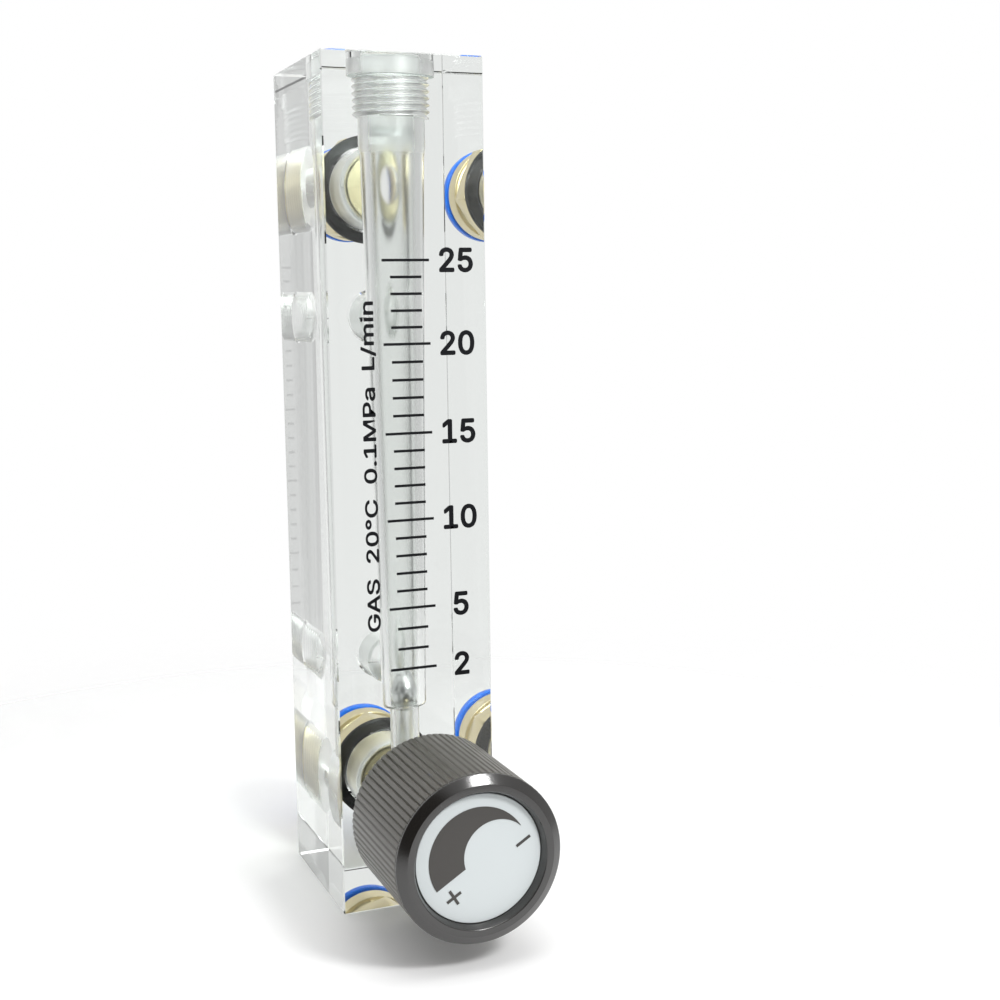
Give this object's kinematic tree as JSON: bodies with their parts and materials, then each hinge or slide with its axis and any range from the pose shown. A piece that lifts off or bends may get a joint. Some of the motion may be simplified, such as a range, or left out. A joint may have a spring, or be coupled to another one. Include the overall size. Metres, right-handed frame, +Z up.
{
  "type": "rotameter",
  "caption": "Clear block flowmeter: a steel ball float in a tapered tube with a scale, a needle valve with a fluted dial knob in front, and push-in hose fittings at the rear.",
  "frame": {"origin": "centre of the block's bottom face, on which it stands", "axes": "+Z up along the measuring tube, -Y towards the scale and the knob, +Y towards the hose fittings, +X to the right seen from the front"},
  "size_m": [0.025, 0.0689, 0.13],
  "materials": {
    "clear_acrylic": "clear cast acrylic, polished",
    "seal_rubber": "black nitrile rubber",
    "clear_silicone": "translucent silicone rubber",
    "gasket_rubber": "flat black gasket",
    "polished_steel": "polished steel ball",
    "scale_ink": "black screen print",
    "brass": "pale machined brass, satin",
    "stainless_steel": "turned stainless steel",
    "spring_steel": "bright spring steel",
    "knob_plastic": "charcoal moulded plastic",
    "dial_plastic": "pale silver plate, satin gloss",
    "dial_ink": "dark grey print",
    "blue_plastic": "bright blue acetal"
  },
  "bodies": {
    "block": {"flow_block": "clear_acrylic", "top_plug": "clear_acrylic", "plug_seal": "clear_silicone", "scale_marks": "scale_ink", "valve_bush": "brass", "bush_gasket": "gasket_rubber", "upper_fitting_body": "brass", "upper_fitting_gasket": "gasket_rubber", "upper_tube_seal": "seal_rubber", "upper_collet_claw": "spring_steel", "upper_collet_guide": "brass", "lower_fitting_body": "brass", "lower_fitting_gasket": "gasket_rubber", "lower_tube_seal": "seal_rubber", "lower_collet_claw": "spring_steel", "lower_collet_guide": "brass"},
    "float": {"float_ball": "polished_steel"},
    "stem": {"valve_stem": "stainless_steel", "stem_seal": "seal_rubber"},
    "knob": {"knob": "knob_plastic", "knob_screw": "stainless_steel", "dial_plate": "dial_plastic", "dial_marks": "dial_ink"},
    "upper_collar": {"upper_release_collar": "blue_plastic"},
    "lower_collar": {"lower_release_collar": "blue_plastic"}
  },
  "joints": [
    {"name": "float_rise", "type": "slide", "parent": "block", "child": "float", "axis": [0, 0, 1], "range_m": [0, 0.081]},
    {"name": "stem_feed", "type": "slide", "parent": "block", "child": "stem", "axis": [0, 1, 0], "range_m": [-0.00038, 0.003]},
    {"name": "knob_turn", "type": "hinge", "parent": "stem", "child": "knob", "pos_m": [0, -0.03, 0.0165], "axis": [0, 1, 0], "range_deg": [-180, 1440]},
    {"name": "upper_collar_press", "type": "slide", "parent": "block", "child": "upper_collar", "axis": [0, -1, 0], "range_m": [0, 0.0007], "stiffness_N_per_m": 1500},
    {"name": "lower_collar_press", "type": "slide", "parent": "block", "child": "lower_collar", "axis": [0, -1, 0], "range_m": [0, 0.0007], "stiffness_N_per_m": 1500}
  ],
  "couplings": [
    {"joint": "stem_feed", "follows": "knob_turn", "m_per_rad": 0.00011937}
  ]
}
